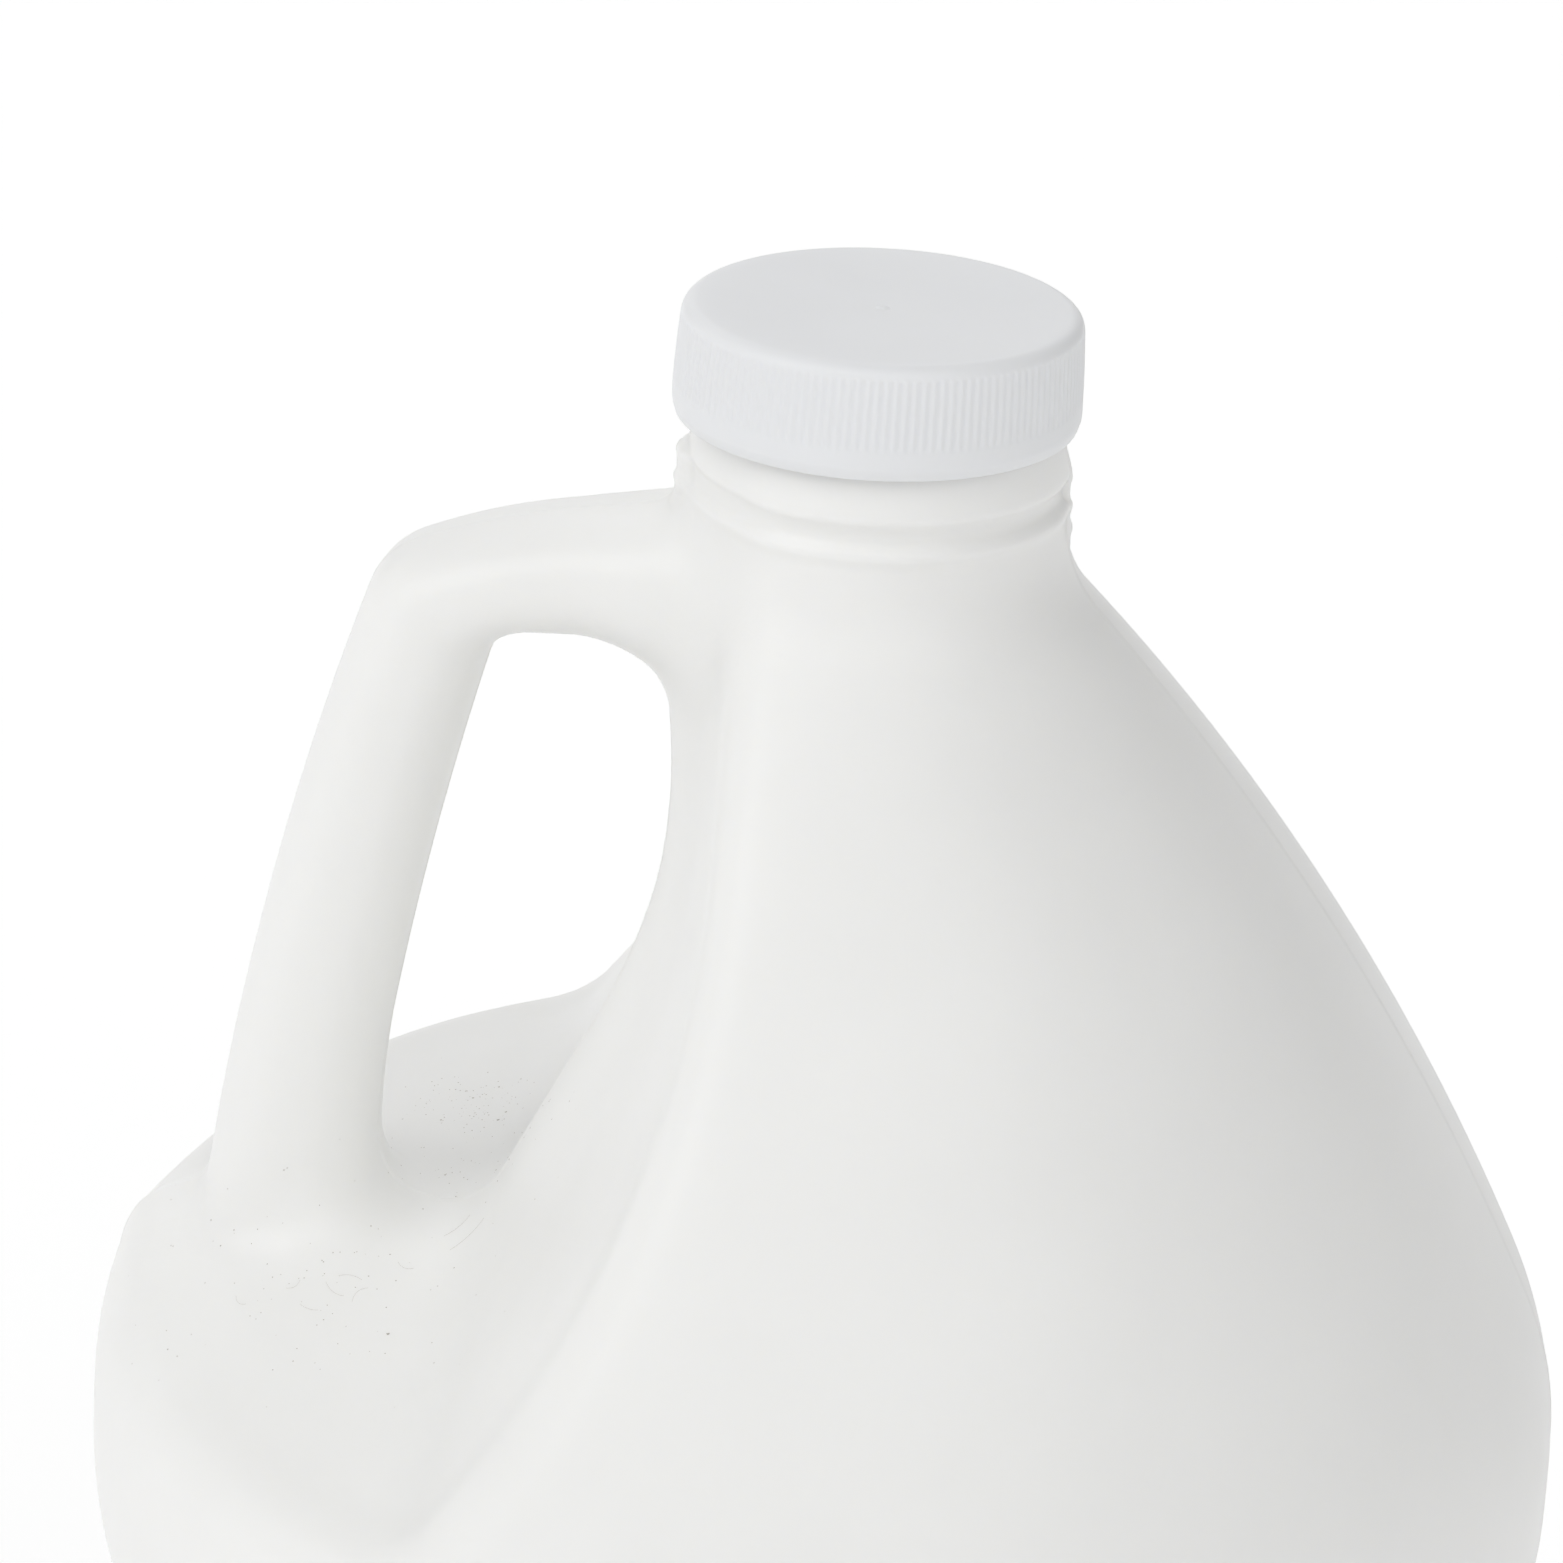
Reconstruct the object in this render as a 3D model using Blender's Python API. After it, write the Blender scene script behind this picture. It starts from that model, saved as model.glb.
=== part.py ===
"""Plastic jug: a one-gallon blow-moulded jug with a moulded side handle and a ribbed screw cap.

Named sizes are in millimetres, meshes in metres. Z is up, the origin is at the middle of the base
on the neck's axis, the handle points to -X, and the mould's parting plane is the XZ plane.
"""
import math

import bmesh
import bpy
import numpy as np

MM = 0.001

# Overall sizes
HEIGHT = 301.0
CAP_HEIGHT = 11.4
CAP_RADIUS = 20.5
RIM_Z = HEIGHT - CAP_HEIGHT
SEGMENTS = 76
CROWDING = 0.36
PROFILE_STEP = 5.2
PANEL_STEP = 26.0
SHARP_ANGLE = 40.0

# Neck: radii and drops below the cap's lower edge
FINISH_RADIUS = 17.6
FINISH_TOP = 9.2
NECK_BANDS = (
    (18.8, -1.2),
    (19.35, -3.0),
    (19.8, -4.6),
    (19.1, -5.5),
    (19.0, -6.9),
    (20.0, -8.0),
)
NECK_FOOT = (19.65, -9.2)

# Dome and shoulder: tangent arcs as radius and end heading, in degrees from straight down
NECK_FILLET = (14.18, 43.0)
DOME_LINE = 1.74
DOME = (291.4, 25.66)
SHOULDER = (41.5, 1.0)
SHOULDER_LINE = 4.6
STEP_RADIUS = 42.0
STEP_HEADING = -16.0

# Lower body
FOOT_RADIUS = 12.0
FOOT_SLOPE = 78.0
LOWER_BAND = 14.0
STAND_RADIUS = 62.0
STAND_WIDTH = 3.0
# Raised middle of the base, as radii and heights
BASE_RINGS = ((55.0, 2.4), (37.0, 4.0), (15.5, 4.0))

# Handle recess: its outline in the parting plane, from above the shoulder down its wall and along
# its floor, as distances towards the handle and drops
WALL_TOP = 40.0
WALL_X = 18.3
WALL_MOVES = (
    ("line", 77.0),
    ("arc", 72.0, 26.5),
    ("line", 21.8),
    ("arc", 8.0, 90.4),
    ("line", 60.0),
)
# The same outline where the recess meets the dome
RIM_X = 10.0
RIM_MOVES = (
    ("line", 74.0),
    ("arc", 90.0, 36.0),
    ("line", 9.4),
    ("arc", 9.0, 89.2),
    ("line", 60.0),
)
OUTLINE_STEP = 2.0
# The crest along the parting plane: steepness beside it, height left at its foot and softness
CREST = (1.35, 0.117, 0.05)
REACH_SOFTNESS = 15.0
GUTTER_DEPTH = 0.35
GUTTER_INSET = 6.5
GUTTER_WIDTH = 3.5
CORE_RADIUS = (19.4, 16.6)
CORE_DROPS = (-12.0, -75.0)
CORE_SOFTNESS = 3.0
RIDGE_SOFTNESS = (4.2, 6.0, 7.6)
RIDGE_X = (50.0, 69.0, 74.0)
PRESS_DROP = -130.0
PRESS_ROUNDS = 24

# Handle: its outer and inner outlines in the parting plane, leg by leg from inside the neck to
# under the floor, with the rings in each leg and half the depth across the plane at its end
OUTER_START = (6.0, -8.6)
OUTER_HEADING = 80.5
INNER_START = (15.9, -39.4)
INNER_HEADING = 165.0
HANDLE_START_DEPTH = 13.0
HANDLE_LEGS = (
    (3, ("line", 18.0), ("line", 5.9), 11.5),
    (4, ("line", 6.3), ("arc", 12.0, 88.0), 9.7),
    (3, ("arc", 75.0, 68.0), ("line", 2.15), 9.6),
    (1, ("line", 0.5), ("line", 2.15), 9.7),
    (6, ("arc", 8.0, 19.2), ("arc", 5.0, 15.7), 9.9),
    (9, ("arc", 360.0, 11.2), ("arc", 410.0, 9.8), 10.6),
    (3, ("arc", 360.0, 8.6), ("arc", 110.0, 2.0), 10.8),
    (1, ("line", 1.5), ("line", 1.5), 10.8),
    (2, ("line", 3.6), ("arc", 8.0, -30.0), 11.8),
    (2, ("line", 3.6), ("arc", 8.0, -60.0), 14.6),
    (1, ("line", 3.0), ("line", 3.0), 17.2),
)
HANDLE_SIDES = 20
SECTION_POWER = 2.5

# Cap
CAP_TOP_ROUND = 1.9
CAP_TAPER = 0.12
CAP_GAP = 0.5
RIB_COUNT = 138
RIB_DEPTH = 0.18
RIB_TOP = 9.3
RIB_BOTTOM = 3.2
CAP_TOP_RADIUS = 20.1
CAP_BAND_RADIUS = 20.5
CAP_RIM_RADIUS = 20.15
CAP_CHAMFER = 1.0
CAP_MIDDLE = 0.45
CAP_SIDES = RIB_COUNT // 2


def clear_scene():
    for old in list(bpy.data.objects):
        bpy.data.objects.remove(old, do_unlink=True)


def material(name, colour, roughness):
    made = bpy.data.materials.new(name)
    made.use_nodes = True
    shader = made.node_tree.nodes["Principled BSDF"]
    shader.inputs["Base Color"].default_value = (*colour, 1.0)
    shader.inputs["Roughness"].default_value = roughness
    shader.inputs["Metallic"].default_value = 0.0
    return made


def new_object(name, made_material):
    mesh = bpy.data.meshes.new(name)
    thing = bpy.data.objects.new(name, mesh)
    bpy.context.scene.collection.objects.link(thing)
    mesh.materials.append(made_material)
    return thing


def move_length(heading, move):
    """Length and end heading of a ("line", length) or an ("arc", radius, end heading).

    Headings are degrees from straight down towards the first axis.
    """
    if move[0] == "line":
        return move[1], heading
    return move[1] * abs(math.radians(move[2] - heading)), move[2]


def move_points(start, heading, move, count):
    """The points of one line or arc after its start, in a stated number of steps."""
    length, end = move_length(heading, move)
    u, z = start
    points = []
    for i in range(count):
        angle = math.radians(heading + (end - heading) * (i + 0.5) / count)
        u += math.sin(angle) * length / count
        z -= math.cos(angle) * length / count
        points.append((u, z))
    return points


def arc_path(start, heading, moves, step):
    """Points along tangent lines and arcs, no further apart than a step."""
    points = [start]
    for move in moves:
        length, end = move_length(heading, move)
        points += move_points(points[-1], heading, move, max(1, math.ceil(length / step)))
        heading = end
    return np.array(points)


def dome_path(step):
    """Radius and drop from the neck's foot to the label panel."""
    return arc_path(NECK_FOOT, 0.0, [
        ("arc", *NECK_FILLET),
        ("line", DOME_LINE),
        ("arc", *DOME),
        ("arc", *SHOULDER),
        ("line", SHOULDER_LINE),
        ("arc", STEP_RADIUS, STEP_HEADING),
        ("arc", STEP_RADIUS, 0.0),
    ], step)


def outer_profile(step):
    """Radius and height of the turned body, from the top of the finish to the middle of the base."""
    top = [(FINISH_RADIUS - 1.0, FINISH_TOP), (FINISH_RADIUS, FINISH_TOP - 1.0), (FINISH_RADIUS, 0.8)]
    upper = dome_path(step)
    lower = lower_path(upper[-1], step)
    profile = np.array(top + list(NECK_BANDS) + list(upper) + list(lower))
    profile[:, 1] += RIM_Z
    return profile


def lower_path(panel_top, step):
    """The label panel, the lower band, the foot and the raised base, as radii and drops."""
    band = [
        ("arc", STEP_RADIUS, -STEP_HEADING),
        ("arc", STEP_RADIUS, 0.0),
        ("line", LOWER_BAND),
        ("arc", FOOT_RADIUS, -FOOT_SLOPE),
    ]
    reach = arc_path((panel_top[0], 0.0), 0.0, band, step)
    panel_length = RIM_Z + panel_top[1] + reach[-1, 1]
    panel_rows = math.ceil(panel_length / PANEL_STEP)
    panel = [(panel_top[0], panel_top[1] - panel_length * i / panel_rows) for i in range(1, panel_rows)]
    lower = reach + (0.0, panel_top[1] - panel_length)
    stand = [
        (STAND_RADIUS, -RIM_Z),
        (STAND_RADIUS - STAND_WIDTH, -RIM_Z),
    ]
    middle = [(radius, height - RIM_Z) for radius, height in BASE_RINGS]
    return panel + list(lower) + stand + middle


def distance_to_path(points, path):
    """Distance from each point to a polyline, all in the parting plane."""
    start, along = path[:-1], np.diff(path, axis=0)
    offset = points[:, None, :] - start[None, :, :]
    share = np.clip((offset * along).sum(axis=2) / (along ** 2).sum(axis=1), 0.0, 1.0)
    return np.linalg.norm(offset - share[:, :, None] * along, axis=2).min(axis=1)


def inside_outline(points, outline):
    """True for each point inside a closed outline, by counting the edges crossed."""
    u, z = points[:, 0:1], points[:, 1:2]
    u0, z0 = outline[:, 0], outline[:, 1]
    u1, z1 = np.roll(u0, -1), np.roll(z0, -1)
    spans = (z0 > z) != (z1 > z)
    rise = np.where(z1 == z0, 1.0, z1 - z0)
    crossing = u0 + (z - z0) / rise * (u1 - u0)
    return (spans & (u < crossing)).sum(axis=1) % 2 == 1


def smooth_max(a, b, softness):
    blend = np.clip(1.0 - np.abs(a - b) / softness, 0.0, None)
    return np.maximum(a, b) + 0.25 * softness * blend ** 2


def smooth_min(a, b, softness):
    return -smooth_max(-a, -b, softness)


def signed_distance(points, path):
    """Distance from a path in the parting plane, positive on its far side from the neck's axis."""
    far_corner = (path[-1, 0], path[0, 1])
    inside = inside_outline(points, np.vstack([path, far_corner]))
    away = distance_to_path(points, path)
    return np.where(inside, away, -away)


class Handle:
    """The handle's outlines in the parting plane and its boxy oval section."""

    def __init__(self):
        self.outer = self.outline(OUTER_START, OUTER_HEADING, 1)
        self.inner = self.outline(INNER_START, INNER_HEADING, 2)
        rings = [leg[0] for leg in HANDLE_LEGS]
        ends = np.concatenate([[0], np.cumsum(rings)])
        depths = [HANDLE_START_DEPTH] + [leg[3] for leg in HANDLE_LEGS]
        self.depth = np.interp(np.arange(len(self.outer)), ends, depths)

    def outline(self, start, heading, column):
        """Points along one outline, with each leg cut into its own number of rings."""
        points = [start]
        for leg in HANDLE_LEGS:
            points += move_points(points[-1], heading, leg[column], leg[0])
            heading = move_length(heading, leg[column])[1]
        return np.array(points)

    def rings(self):
        """Rings of points round the section, from inside the neck to under the floor."""
        turns = np.arange(HANDLE_SIDES) * 2.0 * math.pi / HANDLE_SIDES
        out = np.sign(np.cos(turns)) * np.abs(np.cos(turns)) ** (2.0 / SECTION_POWER)
        side = np.sign(np.sin(turns)) * np.abs(np.sin(turns)) ** (2.0 / SECTION_POWER)
        rings = np.empty((len(self.outer), HANDLE_SIDES, 3))
        middle = 0.5 * (self.outer + self.inner)
        half = 0.5 * (self.outer - self.inner)
        rings[:, :, 0] = -(middle[:, 0:1] + half[:, 0:1] * out)
        rings[:, :, 1] = self.depth[:, None] * side
        rings[:, :, 2] = middle[:, 1:2] + half[:, 1:2] * out + RIM_Z
        return rings


class Recess:
    """The hollow pressed into the dome under the handle, opening towards both mould halves."""

    def __init__(self):
        self.dome = dome_path(1.0)[::-1]
        self.slope = np.gradient(self.dome[:, 0], self.dome[:, 1])
        self.wall = arc_path((WALL_X, WALL_TOP), 0.0, WALL_MOVES, OUTLINE_STEP)
        self.rim = arc_path((RIM_X, WALL_TOP), 0.0, RIM_MOVES, OUTLINE_STEP)

    def field(self, points):
        """Negative inside the pressed body, positive outside it. Points are in mm, drops as z."""
        x, y, z = points.T
        turned = np.interp(z, self.dome[:, 1], self.dome[:, 0])
        slope = np.interp(z, self.dome[:, 1], self.slope)
        radius = np.hypot(x, y)
        body = (radius - turned) / np.hypot(1.0, slope)

        plane = np.stack([-x, z], axis=1)
        reach = np.sqrt(np.clip(turned ** 2 - x ** 2, 0.0, None) + REACH_SOFTNESS ** 2)
        share = np.abs(y) / reach
        steep, foot, softness = CREST
        share = smooth_min(steep * share, foot + (1.0 - foot) * share, softness)
        wall = signed_distance(plane, self.wall)
        rim = signed_distance(plane, self.rim)
        gutter = GUTTER_DEPTH * np.exp(-((body + GUTTER_INSET) / GUTTER_WIDTH) ** 2)
        pressed = (1.0 - share) * wall + share * rim + gutter

        core = radius - np.interp(z, CORE_DROPS[::-1], CORE_RADIUS[::-1])
        ridge = np.interp(-x, RIDGE_X, RIDGE_SOFTNESS)
        return smooth_max(body, smooth_min(pressed, core, CORE_SOFTNESS), ridge)

    def press(self, points):
        """Moves points of the turned dome in towards one inner point until they lie on the body."""
        inner = np.array([0.0, 0.0, PRESS_DROP])
        low = np.zeros(len(points))
        high = np.ones(len(points))
        for _ in range(PRESS_ROUNDS):
            middle = 0.5 * (low + high)
            solid = self.field(inner + (points - inner) * middle[:, None]) < 0.0
            low = np.where(solid, middle, low)
            high = np.where(solid, high, middle)
        return inner + (points - inner) * low[:, None]


def turned_points(profile, segments, crowding):
    """Rings of points round the Z axis, one for each profile point, crowded towards the handle."""
    turns = np.arange(segments) * 2.0 * math.pi / segments
    turns = turns + crowding * np.sin(turns)
    rings = np.empty((len(profile), segments, 3))
    rings[:, :, 0] = profile[:, 0:1] * np.cos(turns)
    rings[:, :, 1] = profile[:, 0:1] * np.sin(turns)
    rings[:, :, 2] = profile[:, 1:2]
    return rings


def skin(bm, rings):
    """Faces between rings of equal length, with a fan or a flat face at each end."""
    rows = [[bm.verts.new(point * MM) for point in ring] for ring in rings]
    for above, below in zip(rows, rows[1:]):
        for i in range(len(above)):
            j = (i + 1) % len(above)
            bm.faces.new((above[i], below[i], below[j], above[j]))
    bm.faces.new(rows[0])
    bm.faces.new(reversed(rows[-1]))
    return rows


def write_mesh(thing, bm):
    bmesh.ops.recalc_face_normals(bm, faces=bm.faces)
    bm.to_mesh(thing.data)
    bm.free()
    thing.data.shade_smooth()
    thing.data.set_sharp_from_angle(angle=math.radians(SHARP_ANGLE))


def make_body(plastic):
    """The turned body with the handle recess pressed into its dome."""
    profile = outer_profile(PROFILE_STEP)
    rings = turned_points(profile, SEGMENTS, CROWDING)
    upper, lower = NECK_FOOT[1] + RIM_Z, dome_path(PROFILE_STEP)[-1, 1] + RIM_Z
    chosen = (profile[:, 1] < upper) & (profile[:, 1] > lower)
    points = rings[chosen].reshape(-1, 3) - (0.0, 0.0, RIM_Z)
    pressed = Recess().press(points) + (0.0, 0.0, RIM_Z)
    rings[chosen] = pressed.reshape(-1, SEGMENTS, 3)
    body = new_object("jug", plastic)
    bm = bmesh.new()
    skin(bm, rings)
    write_mesh(body, bm)
    return body


def join_handle(body, plastic):
    """Unites the body with its handle, whose form stays in the scene as a hidden guide."""
    form = new_object("handle_form", plastic)
    bm = bmesh.new()
    skin(bm, Handle().rings())
    write_mesh(form, bm)
    form.display_type = "WIRE"
    form.hide_render = True
    union = body.modifiers.new("handle", "BOOLEAN")
    union.operation = "UNION"
    union.solver = "EXACT"
    union.object = form


def make_cap(plastic):
    """The screw cap: a cup over the finish, ribbed round its side, with a smooth band below."""
    inner = FINISH_RADIUS + CAP_GAP
    inner_top = FINISH_TOP + CAP_GAP
    top_round = arc_path((CAP_TOP_RADIUS - CAP_TOP_ROUND, CAP_HEIGHT), 90.0,
                         [("arc", CAP_TOP_ROUND, 0.0)], CAP_TOP_ROUND * 0.6)
    above = np.array([(CAP_MIDDLE * CAP_RADIUS, CAP_HEIGHT)] + list(top_round))
    below = np.array([
        (CAP_BAND_RADIUS, CAP_CHAMFER),
        (CAP_RIM_RADIUS, 0.0),
        (inner, 0.0),
        (inner, inner_top),
        (CAP_MIDDLE * inner, inner_top),
    ])
    bm = bmesh.new()
    upper = [[bm.verts.new(p * MM) for p in ring] for ring in turned_points(above + (0.0, RIM_Z), CAP_SIDES, 0.0)]
    lower = [[bm.verts.new(p * MM) for p in ring] for ring in turned_points(below + (0.0, RIM_Z), CAP_SIDES, 0.0)]
    ribs = rib_rows(bm)
    for rows in (upper, lower, ribs):
        for first, second in zip(rows, rows[1:]):
            for i in range(len(first)):
                j = (i + 1) % len(first)
                bm.faces.new((first[i], second[i], second[j], first[j]))
    stitch(bm, upper[-1], ribs[0])
    stitch(bm, lower[0], ribs[-1])
    bm.faces.new(upper[0])
    bm.faces.new(lower[-1])
    cap = new_object("cap", plastic)
    write_mesh(cap, bm)


def rib_rows(bm):
    """Two rows of points along the tops and roots of the cap's ribs."""
    count = 2 * RIB_COUNT
    turns = np.arange(count) * 2.0 * math.pi / count
    roots = RIB_DEPTH * (np.arange(count) % 2)
    rows = []
    for radius, z in ((CAP_RADIUS - CAP_TAPER, RIB_TOP), (CAP_RADIUS, RIB_BOTTOM)):
        rows.append([
            bm.verts.new((r * math.cos(a) * MM, r * math.sin(a) * MM, (z + RIM_Z) * MM))
            for r, a in zip(radius - roots, turns)
        ])
    return rows


def stitch(bm, coarse, fine):
    """Triangles between a coarse ring and a fine one with a whole number of points to each."""
    ratio = len(fine) // len(coarse)
    for i, vert in enumerate(coarse):
        after = coarse[(i + 1) % len(coarse)]
        for j in range(ratio):
            first = fine[i * ratio + j]
            second = fine[(i * ratio + j + 1) % len(fine)]
            owner = vert if j < ratio // 2 else after
            bm.faces.new((owner, first, second))
        bm.faces.new((vert, fine[i * ratio + ratio // 2], after))


def main():
    clear_scene()
    jug_plastic = material("jug_plastic", (0.86, 0.86, 0.84), 0.42)
    cap_plastic = material("cap_plastic", (0.80, 0.81, 0.82), 0.45)
    body = make_body(jug_plastic)
    join_handle(body, jug_plastic)
    make_cap(cap_plastic)


main()
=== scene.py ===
"""Plastic jug: the looks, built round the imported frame.

Sizes are in millimetres and drops are measured from the cap's lower edge. Meshes are in metres.
"""
import math
import random

import bpy
import mathutils
import mathutils.bvhtree
import numpy as np
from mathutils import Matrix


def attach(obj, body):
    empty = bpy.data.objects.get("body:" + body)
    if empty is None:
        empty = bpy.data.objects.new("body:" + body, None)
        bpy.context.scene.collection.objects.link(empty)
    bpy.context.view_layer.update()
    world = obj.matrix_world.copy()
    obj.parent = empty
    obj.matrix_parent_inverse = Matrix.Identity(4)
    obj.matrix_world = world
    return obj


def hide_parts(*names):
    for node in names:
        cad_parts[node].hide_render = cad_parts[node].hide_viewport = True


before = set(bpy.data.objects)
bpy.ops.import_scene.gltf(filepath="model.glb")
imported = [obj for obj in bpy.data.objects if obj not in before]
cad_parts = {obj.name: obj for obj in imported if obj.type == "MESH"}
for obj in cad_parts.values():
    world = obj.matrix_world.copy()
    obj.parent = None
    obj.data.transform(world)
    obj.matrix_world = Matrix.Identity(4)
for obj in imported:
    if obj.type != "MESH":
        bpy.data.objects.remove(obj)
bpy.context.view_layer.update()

MM = 0.001
RIM_Z = 289.6
CAP_HEIGHT = 11.4
CAP_RADIUS = 20.5

# The turned body: neck bands, then tangent arcs as radius and end heading from straight down
NECK_BANDS = (
    (17.6, 9.2),
    (17.6, 0.7),
    (18.7, 0.2),
    (18.85, -0.6),
    (19.0, -1.6),
    (19.8, -4.6),
    (19.15, -5.3),
    (18.9, -6.2),
    (19.1, -7.0),
    (19.85, -7.7),
    (20.05, -8.1),
    (19.85, -8.6),
)
NECK_SOFTNESS = 0.28
NECK_STEP = 0.05
NECK_OFFSETS = 9
NECK_FOOT = (19.65, -9.2)
DOME_MOVES = (
    ("arc", 14.18, 43.0),
    ("line", 1.74),
    ("arc", 291.4, 25.66),
    ("arc", 41.5, 1.0),
    ("line", 4.6),
    ("arc", 42.0, -16.0),
    ("arc", 42.0, 0.0),
)
FOOT_MOVES = (
    ("arc", 42.0, 16.0),
    ("arc", 42.0, 0.0),
    ("line", 14.0),
    ("arc", 12.0, -78.0),
)
OUTLINE_STEP = 0.4
LEAST_DROP = 1e-6
# The base: the ring that the jug stands on, and the rise of its middle
STAND_RADIUS = 62.0
STAND_WIDTH = 3.0
BASE_RISE = 4.0
BASE_SLOPE = 22.0

# The handle recess: outlines in the parting plane and where it meets the dome
WALL_START = (18.3, 40.0)
WALL_MOVES = (
    ("line", 77.0),
    ("arc", 72.0, 26.5),
    ("line", 21.8),
    ("arc", 8.0, 90.4),
    ("line", 60.0),
)
RIM_START = (10.0, 40.0)
RIM_MOVES = (
    ("line", 74.0),
    ("arc", 90.0, 36.0),
    ("line", 9.4),
    ("arc", 9.0, 89.2),
    ("line", 60.0),
)
# The line across the wall, from the parting plane to the rim: how steeply it starts, where the gentler
# stretch would start from, and how soft the change between them is
CREST = (1.35, 0.117, 0.05)
REACH_SOFTNESS = 15.0
# A shallow gutter just inside the rim: depth, distance from the body's surface and width
GUTTER = (0.35, 6.5, 3.5)
# The core that the recess leaves round the middle, under the neck
CORE_RADIUS = (16.6, 19.4)
CORE_DROPS = (-75.0, -12.0)
CORE_SOFTNESS = 3.0
# How soft the ridge between the recess and the dome is, at distances from the middle
RIDGE_SOFTNESS = (4.2, 6.0, 7.6)
RIDGE_X = (50.0, 69.0, 74.0)
# The part of the jug that the recess can reach
RECESS_X = 4.0
RECESS_DROPS = (-125.0, 2.0)

# The handle: outer and inner outlines and half the depth across the plane at the end of each move
OUTER_START = (6.0, -8.6)
OUTER_HEADING = 80.5
OUTER_MOVES = (
    ("line", 18.0),
    ("line", 6.3),
    ("arc", 75.0, 68.0),
    ("line", 0.5),
    ("arc", 8.0, 19.2),
    ("arc", 360.0, 11.2),
    ("arc", 360.0, 8.6),
    ("line", 25.0),
)
INNER_START = (15.9, -39.4)
INNER_HEADING = 165.0
INNER_MOVES = (
    ("line", 5.9),
    ("arc", 12.0, 88.0),
    ("line", 2.15),
    ("line", 2.15),
    ("arc", 5.0, 15.7),
    ("arc", 410.0, 9.8),
    ("arc", 110.0, 2.0),
    ("line", 25.0),
)
HANDLE_DEPTHS = (13.0, 11.5, 9.7, 9.6, 9.7, 9.9, 10.6, 10.8, 10.8)
# The section is an ellipse at a power of 2 and boxier above
SECTION_POWER = 2.5
LEAST_HALF = 1.0
TINY = 1e-9
HANDLE_ROOT_X = 6.0
# How softly the handle joins the body: at its foot and further up, and how much of that on its outside
HANDLE_BLEND = (9.0, 4.0)
BLEND_DROPS = (-84.0, -62.0)
OUTSIDE_X = (56.0, 66.0)
OUTSIDE_BLEND = (1.0, 0.35)
# The part of the jug that the handle can reach
GRIP_X = -3.0
GRIP_DEPTH = 26.0
GRIP_DROP = -106.0

# The parting line: height, half width, and the rise over which it fades in above the foot
SEAM_HEIGHT = 0.16
SEAM_WIDTH = 0.26
SEAM_FADE = 8.0

# Moulding flash that fills the neck's groove along the parting plane: drops, outer radius, half width
FLASH = (
    (-0.6, 17.5, 0.2),
    (-2.3, 18.9, 0.25),
    (-3.4, 19.4, 0.3),
    (-4.6, 19.75, 0.45),
    (-5.0, 19.9, 0.85),
    (-5.4, 19.9, 0.75),
    (-5.9, 19.75, 0.4),
    (-7.3, 19.75, 0.35),
    (-8.0, 20.1, 0.4),
    (-8.6, 19.95, 0.35),
    (-9.3, 19.85, 0.3),
    (-10.4, 20.3, 0.3),
    (-11.4, 20.1, 0.3),
    (-12.4, 20.1, 0.25),
    (-14.0, 19.5, 0.2),
)
THIN_EDGE = 0.3
# On the left the groove runs out beside the handle: the broad web's half width, the drop where it starts,
# how fast it falls away outward and sideways, and how soft its edge and its start are
LEFT_WEB_WIDTH = 4.5
LEFT_WEB_TOP = -4.2
LEFT_WEB_FALL = 0.1
LEFT_WEB_SIDE = 0.35
LEFT_WEB_EDGE = 1.0
LEFT_WEB_START = 0.8
# How far from the parting plane the webs are worked out, on the left and on the right
WEB_DEPTHS = (12.0, 2.5)
FLASH_SOFTNESS = 0.35

# The jug's grid across, front to back and upward: places, each with the spacing up to the next place
GRID_X = ((-80.3, 1.3), (-24.3, 0.6), (24.3, 1.3), (80.3, 1.3))
GRID_Y = ((-80.3, 1.3), (-24.3, 0.6), (-1.5, 0.25), (1.5, 0.6), (24.3, 1.3), (80.3, 1.3))
GRID_Z = (
    (-291.2, 0.8),
    (-286.4, 1.3),
    (-262.4, 2.6),
    (-140.0, 1.2),
    (-14.0, 0.4),
    (0.0, 1.4),
    (10.5, 1.4),
)
# How points settle on the surface and are evened out
GRADIENT_STEP = 0.02
LEAST_SLOPE = 0.2
LONGEST_MOVE = 0.8
FIRST_ROUNDS = 3
EVEN_ROUNDS = 2
EVEN_SHARE = 0.5

# The cap: its rounded top edge, its lean to one side, and its dished top
CAP_ROUND = 1.6
CAP_LEAN = 0.02
CAP_TOP_RADIUS = 20.09
CAP_TOP_DISH = 0.12
CAP_DISH_RADIUS = 17.0
CAP_SIDE_POWER = 1.6
# Rows of points: fine ones round the gate mark, then over the top, round its edge and down the side
GATE_ROW_STEP = 0.12
GATE_ROWS_END = 3.2
TOP_ROWS_START = 3.6
TOP_ROWS = 16
EDGE_ROWS = 12
SIDE_HEIGHTS = (9.2, 8.6, 7.6, 6.4, 5.2, 4.2, 3.7, 3.5, 3.3, 3.1, 2.9, 2.7, 2.2, 1.8)
# The smooth band at the foot, under the ribs, and the foot's flat underside, as radius and height
CAP_FOOT = (
    (20.5, 1.4),
    (20.48, 1.12),
    (20.44, 0.98),
    (20.38, 0.8),
    (20.2, 0.2),
    (20.08, 0.05),
    (19.9, 0.0),
    (18.4, 0.0),
)
# The hollow inside the cap, clear of the neck's finish
FINISH_CLEAR = 18.1
FINISH_CLEAR_START = 0.2
CAP_INSIDE = 9.7
INSIDE_RADII = (12.0, 4.0)
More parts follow.
